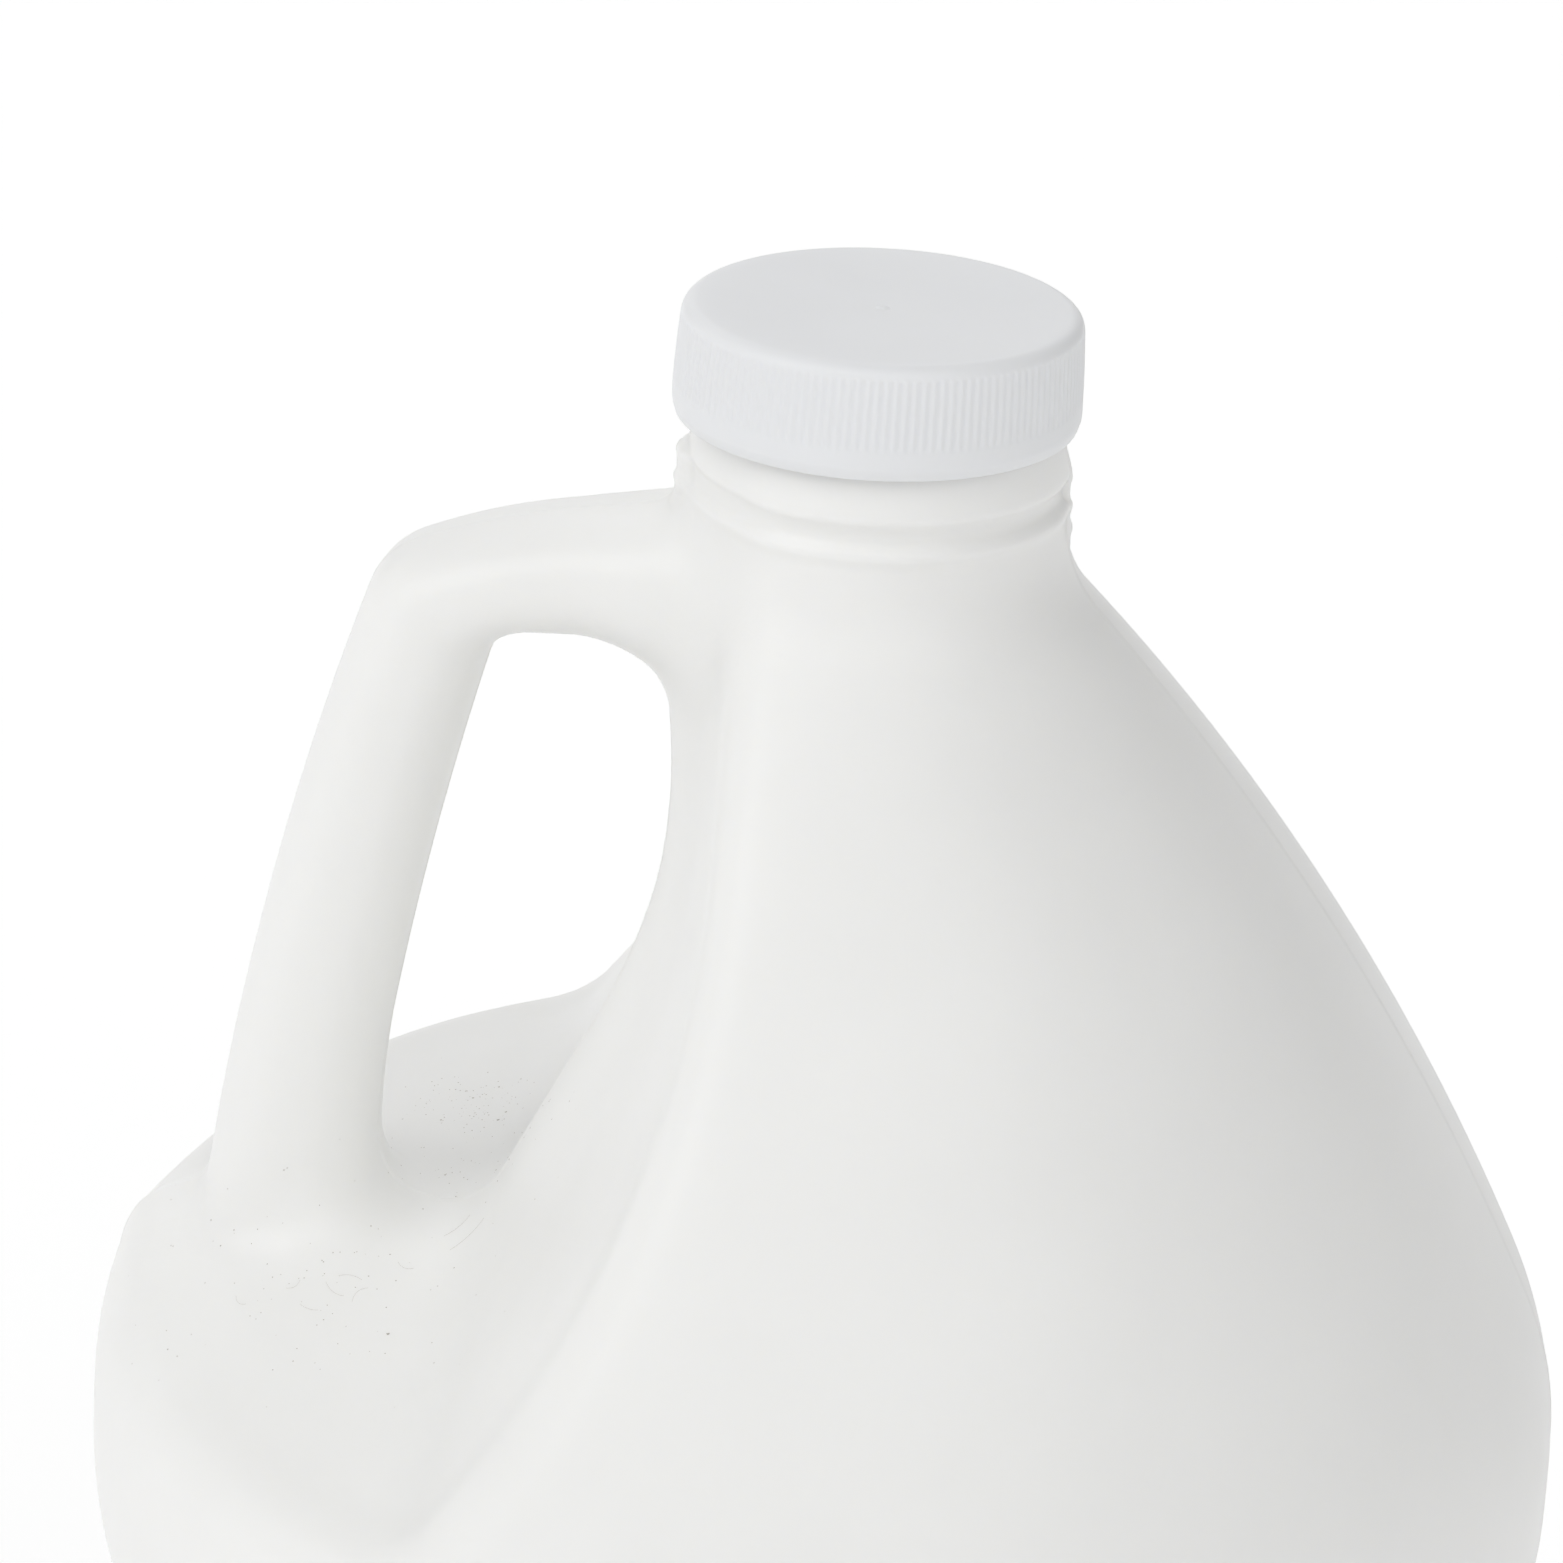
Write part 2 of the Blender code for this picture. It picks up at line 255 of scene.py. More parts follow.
# The ribs round the side, and the number of points from one rib to the next
RIB_COUNT = 138
RIB_DEPTH = 0.12
RIB_TOP = 10.1
RIB_BOTTOM = 3.2
RIB_RUNOUT = 0.5
RIB_STEPS = 8
RIB_SHARPNESS = 0.8
# The gate mark: a low boss, and the reach and depth of the dimple round it
GATE_PLACE = (0.1, -0.5)
GATE_RADIUS = 0.7
GATE_HEIGHT = 0.16
GATE_DIMPLE = (2.2, 0.1)

# The photograph's view: pitch, yaw and roll, the turn round the jug, the distance and the height above
# the cap's lower edge, then the photograph's side and the focal length in its pixels
VIEW_ANGLES = (23.2258, -0.9041, 2.8422)
VIEW_TURN = 4.0625
VIEW_DISTANCE = 484.703
VIEW_RISE = 167.478
PHOTO_SIDE = 1563.0
FOCAL = 5118.1
SENSOR = 36.0
NEAREST = 0.01

# Dust, placed one by one in the photograph's pixels: specks with their radius in millimetres, patches of
# fine dust with their spread and count, and fibres from end to end with how far they bow
SPECKS = (
    (388.0, 1334.0, 0.15),
    (284.0, 1170.0, 0.07),
    (211.0, 1220.0, 0.07),
    (234.0, 1230.0, 0.06),
    (371.0, 1226.0, 0.07),
    (377.0, 1289.0, 0.06),
    (250.0, 1316.0, 0.06),
    (434.0, 1363.0, 0.06),
    (205.0, 1283.0, 0.06),
    (473.0, 1098.0, 0.11),
    (499.0, 1087.0, 0.11),
    (506.0, 1112.0, 0.12),
    (498.0, 1120.0, 0.15),
    (441.0, 1120.0, 0.1),
    (521.0, 1079.0, 0.08),
    (445.0, 1175.0, 0.1),
    (496.0, 1170.0, 0.08),
    (423.0, 1209.0, 0.07),
)
DUST_PATCHES = (
    (475.0, 1105.0, 38.0, 20.0, 130),
    (460.0, 1160.0, 45.0, 25.0, 50),
    (300.0, 1270.0, 95.0, 55.0, 90),
)
DUST_RADIUS = 0.055
DUST_SIZES = (0.5, 1.3)
DUST_SEED = 7
# A fleck: its sides, its furthest turn, lobes and raggedness, how much longer than wide it is, and how far
# its foot lies under the skin and its rim and crown above it, as shares of its radius
FLECK_SIDES = 7
FLECK_TURN = 6.0
FLECK_LOBES = 3.0
FLECK_RAGGED = 0.25
FLECK_STRETCH = 1.25
FLECK_SUNK = 0.4
FLECK_RIM = 0.25
FLECK_CROWN = 0.45
FIBRES = (
    ((326.0, 1282.0), (344.0, 1296.0), 0.15),
    ((338.0, 1276.0), (362.0, 1280.0), -0.12),
    ((352.0, 1302.0), (368.0, 1288.0), -0.2),
    ((286.0, 1288.0), (300.0, 1280.0), 0.2),
    ((300.0, 1304.0), (318.0, 1310.0), 0.1),
    ((444.0, 1236.0), (470.0, 1215.0), 0.06),
    ((450.0, 1250.0), (484.0, 1218.0), 0.05),
    ((398.0, 1262.0), (414.0, 1268.0), 0.2),
    ((236.0, 1296.0), (246.0, 1304.0), 0.3),
)
FIBRE_RADIUS = 0.012
FIBRE_STEPS = 10
FIBRE_CORNERS = (90.0, 210.0, 330.0)
DUST_COLOUR = (0.47, 0.44, 0.4)
DUST_ROUGHNESS = 0.8

# The plastics: colour, roughness, share of light that goes in, and heights of waves and grain in metres
JUG_PLASTIC = {
    "colour": (0.88, 0.88, 0.866),
    "roughness": 0.37,
    "depth": 0.4,
    "wave": 0.0001,
    "grain": 0.00002,
}
CAP_PLASTIC = {
    "colour": (0.81, 0.82, 0.834),
    "roughness": 0.4,
    "depth": 0.3,
    "wave": 0.00001,
    "grain": 0.000005,
}
PLASTIC_IOR = 1.4
SCATTER_COLOUR = (1.0, 0.97, 0.88)
SCATTER_REACH = 0.003
# Noise scales per metre, the noise's detail, and how far the clouds and the sheen stray from the middle
CLOUD_SCALE = 40.0
CLOUD_DETAIL = 4.0
CLOUD_STRAY = 0.012
SHEEN_SCALE = 90.0
SHEEN_STRAY = 0.03
WAVE_SCALE = 55.0
GRAIN_SCALE = 900.0
FINE_DETAIL = 3.0
NOISE_SPAN = (0.3, 0.7)

# Light: broad suns as name, bearing, height and strength, then the floor's and the surround's own light
SUNS = (
    ("left", -55.0, 45.0, 1.04),
    ("front", 20.0, 45.0, 0.76),
    ("back", 180.0, 15.0, 0.34),
    ("back_left", -120.0, 15.0, 0.26),
    ("top_back", 180.0, 45.0, 0.21),
    ("top_left", -140.0, 45.0, 0.16),
)
SUN_WIDTH = 50.0
FLOOR_REACH = 40.0
FLOOR_COLOUR = (0.96, 0.96, 0.96)
FLOOR_ROUGHNESS = 0.9
FLOOR_GLOW = 0.2
SURROUND = 0.3
WHITE = (1.0, 1.0, 1.0, 1.0)


def eye():
    """The photograph's point of view: its place in millimetres and its right, up and forward directions."""
    pitch, yaw, roll = (math.radians(a) for a in VIEW_ANGLES)
    turn = math.radians(VIEW_TURN)
    level_pitch = math.cos(pitch)
    ahead = np.array([math.sin(yaw) * level_pitch, math.cos(yaw) * level_pitch, -math.sin(pitch)])
    level = np.array([math.cos(yaw), -math.sin(yaw), 0.0])
    upright = np.cross(level, ahead)
    right = math.cos(roll) * level + math.sin(roll) * upright
    up = -math.sin(roll) * level + math.cos(roll) * upright
    cosine, sine = math.cos(turn), math.sin(turn)
    about = np.array([[cosine, -sine, 0.0], [sine, cosine, 0.0], [0.0, 0.0, 1.0]])
    place = about @ np.array([0.0, -VIEW_DISTANCE, RIM_Z + VIEW_RISE])
    return place, about @ right, about @ up, about @ ahead


def camera():
    """The photograph's camera."""
    place, right, up, ahead = eye()
    matrix = np.eye(4)
    matrix[:3, :] = np.stack([right, up, -ahead, place * MM], axis=1)
    data = bpy.data.cameras.new("view")
    data.sensor_width = SENSOR
    data.lens = SENSOR * FOCAL / PHOTO_SIDE
    data.clip_start = NEAREST
    made = bpy.data.objects.new("view", data)
    bpy.context.scene.collection.objects.link(made)
    made.matrix_world = mathutils.Matrix(matrix.tolist())
    bpy.context.scene.camera = made


class Path:
    """Tangent lines and arcs in a plane. Headings are degrees from straight down."""

    def __init__(self, start, heading, moves):
        self.parts = []
        u, z = start
        angle = math.radians(heading)
        for move in moves:
            if move[0] == "line":
                end = angle
                self.parts.append(("line", (u, z), (math.sin(angle), -math.cos(angle)), move[1]))
                u += move[1] * math.sin(angle)
                z -= move[1] * math.cos(angle)
            else:
                end = math.radians(move[2])
                side = 1.0 if end > angle else -1.0
                centre = (u + side * move[1] * math.cos(angle), z + side * move[1] * math.sin(angle))
                self.parts.append(("arc", centre, move[1], side, angle, end))
                u = centre[0] - side * move[1] * math.cos(end)
                z = centre[1] - side * move[1] * math.sin(end)
            angle = end
        self.end = (u, z)

    def points(self, step):
        """Points along the path, no further apart than a step."""
        found = []
        for part in self.parts:
            if part[0] == "line":
                _, start, way, length = part
                share = np.linspace(0.0, 1.0, max(2, math.ceil(length / step) + 1))[:, None]
                found.append(np.array(start) + share * length * np.array(way))
            else:
                _, centre, radius, side, first, last = part
                count = max(2, math.ceil(radius * abs(last - first) / step) + 1)
                angles = np.linspace(first, last, count)[:, None]
                spokes = np.hstack([np.cos(angles), np.sin(angles)])
                found.append(np.array(centre) - side * radius * spokes)
        return np.vstack(found)

    def measure(self, u, z):
        """Signed distance, positive on the left of travel, and how far along the nearest point is."""
        best = np.full(u.shape, np.inf)
        signed = np.zeros(u.shape)
        along = np.zeros(u.shape)
        for index, part in enumerate(self.parts):
            if part[0] == "line":
                _, start, way, length = part
                du, dz = u - start[0], z - start[1]
                run = np.clip(du * way[0] + dz * way[1], 0.0, length)
                away = np.hypot(du - run * way[0], dz - run * way[1])
                side = way[0] * dz - way[1] * du
                share = run / length
            else:
                _, centre, radius, turn, first, last = part
                du, dz = u - centre[0], z - centre[1]
                angle = np.arctan2(-turn * dz, -turn * du)
                share = (angle - first + math.pi) % (2.0 * math.pi) - math.pi
                share = share / (last - first)
                beyond = (share < 0.0) | (share > 1.0)
                away = np.abs(np.hypot(du, dz) - radius)
                away = np.where(beyond, np.inf, away)
                side = turn * (radius - np.hypot(du, dz))
                share = np.clip(share, 0.0, 1.0)
            nearer = away < best
            best = np.where(nearer, away, best)
            signed = np.where(nearer, np.where(side < 0.0, -away, away), signed)
            along = np.where(nearer, index + share, along)
        return signed, along


def smooth_max(a, b, softness):
    """The larger of two values, rounded off where they are closer than a softness."""
    blend = np.clip(1.0 - np.abs(a - b) / softness, 0.0, None)
    return np.maximum(a, b) + 0.25 * softness * blend ** 2


def smooth_min(a, b, softness):
    """The smaller of two values, rounded off in the same way."""
    return -smooth_max(-a, -b, softness)


class Jug:
    """The jug as a field that is negative inside it, in millimetres from the cap's lower edge."""

    def __init__(self):
        dome = Path(NECK_FOOT, 0.0, DOME_MOVES)
        foot = Path((dome.end[0], 0.0), 0.0, FOOT_MOVES)
        foot_points = foot.points(OUTLINE_STEP) + (0.0, -RIM_Z - foot.end[1])
        profile = np.vstack([self.rounded_bands(), dome.points(OUTLINE_STEP), foot_points])[::-1]
        keep = np.concatenate([[True], np.diff(profile[:, 1]) > LEAST_DROP])
        self.drops, self.radii = profile[keep, 1], profile[keep, 0]
        self.slopes = np.gradient(self.radii, self.drops)
        self.wall = Path(WALL_START, 0.0, WALL_MOVES)
        self.rim = Path(RIM_START, 0.0, RIM_MOVES)
        self.outer = Path(OUTER_START, OUTER_HEADING, OUTER_MOVES)
        self.inner = Path(INNER_START, INNER_HEADING, INNER_MOVES)

    def rounded_bands(self):
        """The neck's bands with their edges rounded by a running average."""
        drops = np.arange(NECK_BANDS[0][1], NECK_FOOT[1], -NECK_STEP)
        bands = np.array(NECK_BANDS + (NECK_FOOT,))[::-1]
        offsets = np.linspace(-NECK_SOFTNESS, NECK_SOFTNESS, NECK_OFFSETS)
        radii = np.mean([np.interp(drops + o, bands[:, 1], bands[:, 0]) for o in offsets], axis=0)
        return np.stack([radii, drops], axis=1)

    def turned(self, radius, z):
        """The turned body and its base."""
        reach = np.interp(z, self.drops, self.radii)
        slope = np.interp(z, self.drops, self.slopes)
        side = (radius - reach) / np.hypot(1.0, slope)
        share = np.clip((STAND_RADIUS - STAND_WIDTH - radius) / BASE_SLOPE, 0.0, 1.0)
        base = BASE_RISE * share * share * (3.0 - 2.0 * share) - RIM_Z
        return np.maximum(np.maximum(side, base - z), z - NECK_BANDS[0][1])

    def pressed(self, x, y, z, body):
        """The recess: the wall and floor between the parting plane's outline and the rim's."""
        turned = np.interp(z, self.drops, self.radii)
        reach = np.sqrt(np.clip(turned ** 2 - x ** 2, 0.0, None) + REACH_SOFTNESS ** 2)
        share = np.abs(y) / reach
        steep, foot, softness = CREST
        share = smooth_min(steep * share, foot + (1.0 - foot) * share, softness)
        wall = self.wall.measure(-x, z)[0]
        rim = self.rim.measure(-x, z)[0]
        depth, inset, width = GUTTER
        return (1.0 - share) * wall + share * rim + depth * np.exp(-((body + inset) / width) ** 2)

    def handle(self, x, y, z):
        """The handle's bar and grip, with a boxy oval section across the parting plane."""
        outer, along_outer = self.outer.measure(-x, z)
        inner, along_inner = self.inner.measure(-x, z)
        legs = np.arange(len(HANDLE_DEPTHS))
        depth = np.interp(0.5 * (along_outer + along_inner), legs, HANDLE_DEPTHS)
        half = np.maximum(0.5 * (inner - outer), LEAST_HALF)
        off = np.abs(0.5 * (inner + outer)) / half
        deep = np.abs(y) / depth
        power = SECTION_POWER
        gauge = (off ** power + deep ** power) ** (1.0 / power) + TINY
        slope_off = (off / gauge) ** (power - 1.0) / half
        slope_deep = (deep / gauge) ** (power - 1.0) / depth
        slope = np.hypot(slope_off, slope_deep) + TINY
        return np.maximum((gauge - 1.0) / slope, HANDLE_ROOT_X + x)

    def flash(self, x, y, z):
        """The webs across the neck's groove: thin and ragged on the right, broad on the left."""
        drops, reach, half = np.array(FLASH)[::-1].T
        outside = np.hypot(x, y) - np.interp(z, drops, reach)
        off = np.abs(y)
        thin = smooth_max(outside, off - np.interp(z, drops, half), THIN_EDGE)
        side = LEFT_WEB_SIDE * (off - LEFT_WEB_WIDTH)
        broad = smooth_max(outside + LEFT_WEB_FALL * off, side, LEFT_WEB_EDGE)
        return np.where(x < 0.0, smooth_max(broad, z - LEFT_WEB_TOP, LEFT_WEB_START), thin)

    def seam(self, y, z):
        """The thin line that the mould's two halves leave along the parting plane."""
        fade = np.clip((z + RIM_Z) / SEAM_FADE - 0.5, 0.0, 1.0)
        return SEAM_HEIGHT * fade * np.exp(-(y / SEAM_WIDTH) ** 2)

    def handle_side(self, x, y, z, body):
        """The body with the recess pressed into it and the handle joined on."""
        core = np.hypot(x, y) - np.interp(z, CORE_DROPS, CORE_RADIUS)
        hollow = smooth_min(self.pressed(x, y, z, body), core, CORE_SOFTNESS)
        found = smooth_max(body, hollow, np.interp(-x, RIDGE_X, RIDGE_SOFTNESS))
        grip = (x < GRIP_X) & (np.abs(y) < GRIP_DEPTH) & (z > GRIP_DROP)
        x, y, z = x[grip], y[grip], z[grip]
        blend = np.interp(z, BLEND_DROPS, HANDLE_BLEND) * np.interp(-x, OUTSIDE_X, OUTSIDE_BLEND)
        found[grip] = smooth_min(found[grip], self.handle(x, y, z), blend)
        return found

    def field(self, points):
        """The whole jug: negative inside, positive outside."""
        x, y, z = points.T
        found = self.turned(np.hypot(x, y), z)
        lowest, highest = RECESS_DROPS
        near = (x < RECESS_X) & (z > lowest) & (z < highest)
        if near.any():
            found[near] = self.handle_side(x[near], y[near], z[near], found[near])
        neck = (z > FLASH[-1][0]) & (z < 0.0) & (np.abs(y) < np.where(x < 0.0, *WEB_DEPTHS))
        if neck.any():
            web = self.flash(x[neck], y[neck], z[neck])
            found[neck] = smooth_min(found[neck], web, FLASH_SOFTNESS)
        return found - self.seam(y, z)


def spaced(stops):
    """Grid lines through (position, spacing to the next stop) pairs."""
    lines = [stops[0][0]]
    for (start, step), (end, _) in zip(stops, stops[1:]):
        count = max(1, round((end - start) / step))
        lines += [start + (end - start) * (i + 1) / count for i in range(count)]
    return np.array(lines)


def surface(field, xs, ys, zs):
    """A quad mesh of the field's zero surface, one vertex for each grid cell that it crosses."""
    grid_x, grid_y = (a.ravel() for a in np.meshgrid(xs, ys, indexing="ij"))
    values = np.empty((len(xs), len(ys), len(zs)), dtype=np.float32)
    for k, z in enumerate(zs):
        plane = np.stack([grid_x, grid_y, np.full(grid_x.shape, z)], axis=1)
        values[:, :, k] = field(plane).reshape(len(xs), len(ys))
    inside = values < 0.0
    shape = tuple(n - 1 for n in inside.shape)
    total = np.zeros(shape, dtype=np.uint8)
    for i in (0, 1):
        for j in (0, 1):
            for k in (0, 1):
                total += inside[i:i + shape[0], j:j + shape[1], k:k + shape[2]]
    cells = np.argwhere((total > 0) & (total < 8))
    number = np.full(shape, -1, dtype=np.int32)
    number[tuple(cells.T)] = np.arange(len(cells))
    quads = np.vstack([edge_quads(inside, number, axis) for axis in range(3)])
    return crossings(values, cells, (xs, ys, zs)), quads


def crossings(values, cells, lines):
    """The middle of the points where the surface crosses each cell's edges."""
    summed = np.zeros((len(cells), 3))
    counted = np.zeros(len(cells))
    for axis in range(3):
        others = [a for a in range(3) if a != axis]
        for p in (0, 1):
            for q in (0, 1):
                first = cells.copy()
                first[:, others[0]] += p
                first[:, others[1]] += q
                second = first.copy()
                second[:, axis] += 1
                a, b = values[tuple(first.T)], values[tuple(second.T)]
                crossed = (a < 0.0) != (b < 0.0)
                share = np.where(crossed, a / np.where(crossed, a - b, 1.0), 0.0)
                point = np.stack([lines[d][first[:, d]] for d in range(3)], axis=1)
                ends = lines[axis][second[:, axis]]
                point[:, axis] += share * (ends - point[:, axis])
                summed += point * crossed[:, None]
                counted += crossed
    return summed / counted[:, None]


def edge_quads(inside, number, axis):
    """One quad for each grid edge along an axis that the surface crosses."""
    moved = np.moveaxis(inside, axis, 0)
    cells = np.moveaxis(number, axis, 0)
    if axis == 1:
        moved, cells = moved.swapaxes(1, 2), cells.swapaxes(1, 2)
    first, second = moved[:-1, 1:-1, 1:-1], moved[1:, 1:-1, 1:-1]
    found = []
    for crossed, order in ((first & ~second, 1), (~first & second, -1)):
        i, j, k = np.nonzero(crossed)
        corners = [cells[i, j + p, k + q] for p, q in ((0, 0), (1, 0), (1, 1), (0, 1))]
        found.append(np.stack(corners[::order], axis=1))
    return np.vstack(found)


def slopes(field, points):
    """The field's value and gradient."""
    value = field(points)
    gradient = np.empty_like(points)
    for axis in range(3):
        ahead, behind = points.copy(), points.copy()
        ahead[:, axis] += GRADIENT_STEP
        behind[:, axis] -= GRADIENT_STEP
        gradient[:, axis] = (field(ahead) - field(behind)) / (2.0 * GRADIENT_STEP)
    return value, gradient


def settle(field, points, rounds):
    """Moves points straight onto the field's surface."""
    for _ in range(rounds):
        value, gradient = slopes(field, points)
        steep = np.maximum((gradient ** 2).sum(axis=1), LEAST_SLOPE)
        points = points - np.clip(value / steep, -LONGEST_MOVE, LONGEST_MOVE)[:, None] * gradient
    return points


def relax(points, quads, share):
    """Evens out the mesh by moving each vertex towards the middle of its neighbours."""
    summed = np.zeros_like(points)
    counted = np.zeros(len(points))
    for a, b in ((0, 1), (1, 2), (2, 3), (3, 0)):
        np.add.at(summed, quads[:, a], points[quads[:, b]])
        np.add.at(summed, quads[:, b], points[quads[:, a]])
        np.add.at(counted, quads[:, a], 1.0)
        np.add.at(counted, quads[:, b], 1.0)
    return points + share * (summed / counted[:, None] - points)


def new_piece(name, points, faces):
    """A smooth mesh object from points in metres and faces as lists of point numbers."""
    mesh = bpy.data.meshes.new(name)
    mesh.from_pydata(points.tolist(), [], faces)
    mesh.update()
    mesh.shade_smooth()
    made = bpy.data.objects.new(name, mesh)
    bpy.context.scene.collection.objects.link(made)
    return made


def make_jug():
    """The jug's skin, as an even mesh on its field's surface."""
    jug = Jug()
    points, quads = surface(jug.field, spaced(GRID_X), spaced(GRID_Y), spaced(GRID_Z))
    points = settle(jug.field, points, FIRST_ROUNDS)
    for _ in range(EVEN_ROUNDS):
        points = settle(jug.field, relax(points, quads, EVEN_SHARE), EVEN_ROUNDS)
    return new_piece("jug_skin", (points + (0.0, 0.0, RIM_Z)) * MM, quads.tolist())


def cap_rows():
    """The cap's outline as radius and height: from the top's middle, down the side and up inside."""
    rows = [(radius, CAP_HEIGHT) for radius in np.arange(GATE_ROW_STEP, GATE_ROWS_END, GATE_ROW_STEP)]
    flat_radii = np.linspace(TOP_ROWS_START, CAP_TOP_RADIUS - CAP_ROUND, TOP_ROWS)
    rows += [(radius, CAP_HEIGHT) for radius in flat_radii]
    for angle in np.radians(np.linspace(90.0 / EDGE_ROWS, 90.0, EDGE_ROWS)):
        radius = CAP_TOP_RADIUS - CAP_ROUND * (1.0 - math.sin(angle))
        rows.append((radius, CAP_HEIGHT - CAP_ROUND * (1.0 - math.cos(angle))))
    side_foot = SIDE_HEIGHTS[-1]
    for height in SIDE_HEIGHTS:
        share = (height - side_foot) / (CAP_HEIGHT - CAP_ROUND - side_foot)
        radius = CAP_RADIUS - (CAP_RADIUS - CAP_TOP_RADIUS) * share ** CAP_SIDE_POWER
        rows.append((radius, height))
    rows += CAP_FOOT
    rows += [(FINISH_CLEAR, FINISH_CLEAR_START), (FINISH_CLEAR, CAP_INSIDE)]
    rows += [(radius, CAP_INSIDE) for radius in INSIDE_RADII]
    return rows


def rib_share(radius, height):
    """How much of their depth the ribs have at a row: all of it on the side, running out at both ends."""
    if radius < 0.5 * (FINISH_CLEAR + CAP_RADIUS):
        return 0.0
    above = (RIB_TOP - height) / RIB_RUNOUT + 0.5
    below = (height - RIB_BOTTOM) / RIB_RUNOUT + 0.5
    return min(max(min(above, below), 0.0), 1.0)


def gate_mark(x, y):
    """The low boss in its dimple at the middle of the cap's top."""
    away = np.hypot(x - GATE_PLACE[0], y - GATE_PLACE[1])
    reach, depth = GATE_DIMPLE
    boss = GATE_HEIGHT * np.clip(1.0 - (away / GATE_RADIUS) ** 2, 0.0, None)
    return boss - depth * np.exp(-(away / reach) ** 2)


def cap_points(rows, turns):
    """A ring of points for each row, then the middles of the top and of the inside."""
    phase = (np.arange(len(turns)) % RIB_STEPS) / RIB_STEPS
    root = (0.5 - 0.5 * np.cos(2.0 * math.pi * phase)) ** RIB_SHARPNESS
    rings = []
    for radius, height in rows:
        share = rib_share(radius, height)
        reach = radius - RIB_DEPTH * share * root
        x, y = reach * np.cos(turns), reach * np.sin(turns)
        if share > 0.0 or height > RIB_TOP:
            x = x + CAP_LEAN * (height - RIB_BOTTOM)
        z = np.full(len(turns), height + RIM_Z)
        if height == CAP_HEIGHT:
            z += gate_mark(x, y) - CAP_TOP_DISH * max(1.0 - (radius / CAP_DISH_RADIUS) ** 2, 0.0)
        rings.append(np.stack([x, y, z], axis=1))
    top = rings[0].mean(axis=0)[None, :]
    bottom = np.array([[0.0, 0.0, CAP_INSIDE + RIM_Z]])
    return np.vstack(rings + [top, bottom])


def make_cap():
    """The cap, turned from its outline, with ribs cut into its side."""
    count = RIB_COUNT * RIB_STEPS
    rows = cap_rows()
    points = cap_points(rows, np.arange(count) * 2.0 * math.pi / count)
    here = np.arange(count)
    following = (here + 1) % count
    faces = []
    for row in range(len(rows) - 1):
        a, b = row * count, (row + 1) * count
        faces += np.stack([a + here, b + here, b + following, a + following], axis=1).tolist()
    top, bottom = len(points) - 2, len(points) - 1
    last_ring = (len(rows) - 1) * count
    pairs = list(zip(here.tolist(), following.tolist()))
    faces += [[top, i, j] for i, j in pairs]
    faces += [[bottom, last_ring + j, last_ring + i] for i, j in pairs]
    return new_piece("cap_shell", points * MM, faces)


def plastic(name, colour, roughness, depth, wave, grain):
    """Satin moulded polyethylene: some light goes through it, and its skin is a little wavy and grained."""
    made = bpy.data.materials.new(name)
    made.use_nodes = True
    nodes, links = made.node_tree.nodes, made.node_tree.links
    shader = nodes["Principled BSDF"]
    shader.inputs["IOR"].default_value = PLASTIC_IOR
    shader.inputs["Subsurface Weight"].default_value = depth
    shader.inputs["Subsurface Radius"].default_value = SCATTER_COLOUR
    shader.inputs["Subsurface Scale"].default_value = SCATTER_REACH
    place = nodes.new("ShaderNodeTexCoord")

    def noise(scale, detail):
        made_noise = nodes.new("ShaderNodeTexNoise")
        made_noise.inputs["Scale"].default_value = scale
        made_noise.inputs["Detail"].default_value = detail
        links.new(place.outputs["Object"], made_noise.inputs["Vector"])
        return made_noise.outputs["Fac"]

    def ranged(value, low, high):
        mapped = nodes.new("ShaderNodeMapRange")
        mapped.inputs["From Min"].default_value = NOISE_SPAN[0]
        mapped.inputs["From Max"].default_value = NOISE_SPAN[1]
        mapped.inputs["To Min"].default_value = low
        mapped.inputs["To Max"].default_value = high
        links.new(value, mapped.inputs["Value"])
        return mapped.outputs["Result"]

    # Clouds in the colour and the sheen
    tint = nodes.new("ShaderNodeMix")
    tint.data_type = "RGBA"
    tint.inputs["A"].default_value = (*[c * (1.0 - CLOUD_STRAY) for c in colour], 1.0)
    tint.inputs["B"].default_value = (*[c * (1.0 + CLOUD_STRAY) for c in colour], 1.0)
    links.new(ranged(noise(CLOUD_SCALE, CLOUD_DETAIL), 0.0, 1.0), tint.inputs["Factor"])
    links.new(tint.outputs["Result"], shader.inputs["Base Color"])
    sheen = ranged(noise(SHEEN_SCALE, FINE_DETAIL), roughness - SHEEN_STRAY, roughness + SHEEN_STRAY)
    links.new(sheen, shader.inputs["Roughness"])
    # The skin's waves and its fine grain
    normal = None
    for scale, height in ((WAVE_SCALE, wave), (GRAIN_SCALE, grain)):
        bump = nodes.new("ShaderNodeBump")
        bump.inputs["Strength"].default_value = 1.0
        bump.inputs["Distance"].default_value = height
        links.new(noise(scale, FINE_DETAIL), bump.inputs["Height"])
        if normal is not None:
            links.new(normal, bump.inputs["Normal"])
        normal = bump.outputs["Normal"]
    links.new(normal, shader.inputs["Normal"])
    return made


def plain(name, colour, roughness):
    """A material of one even colour."""
    made = bpy.data.materials.new(name)
    made.use_nodes = True
    shader = made.node_tree.nodes["Principled BSDF"]
    shader.inputs["Base Color"].default_value = (*colour, 1.0)
    shader.inputs["Roughness"].default_value = roughness
    return made


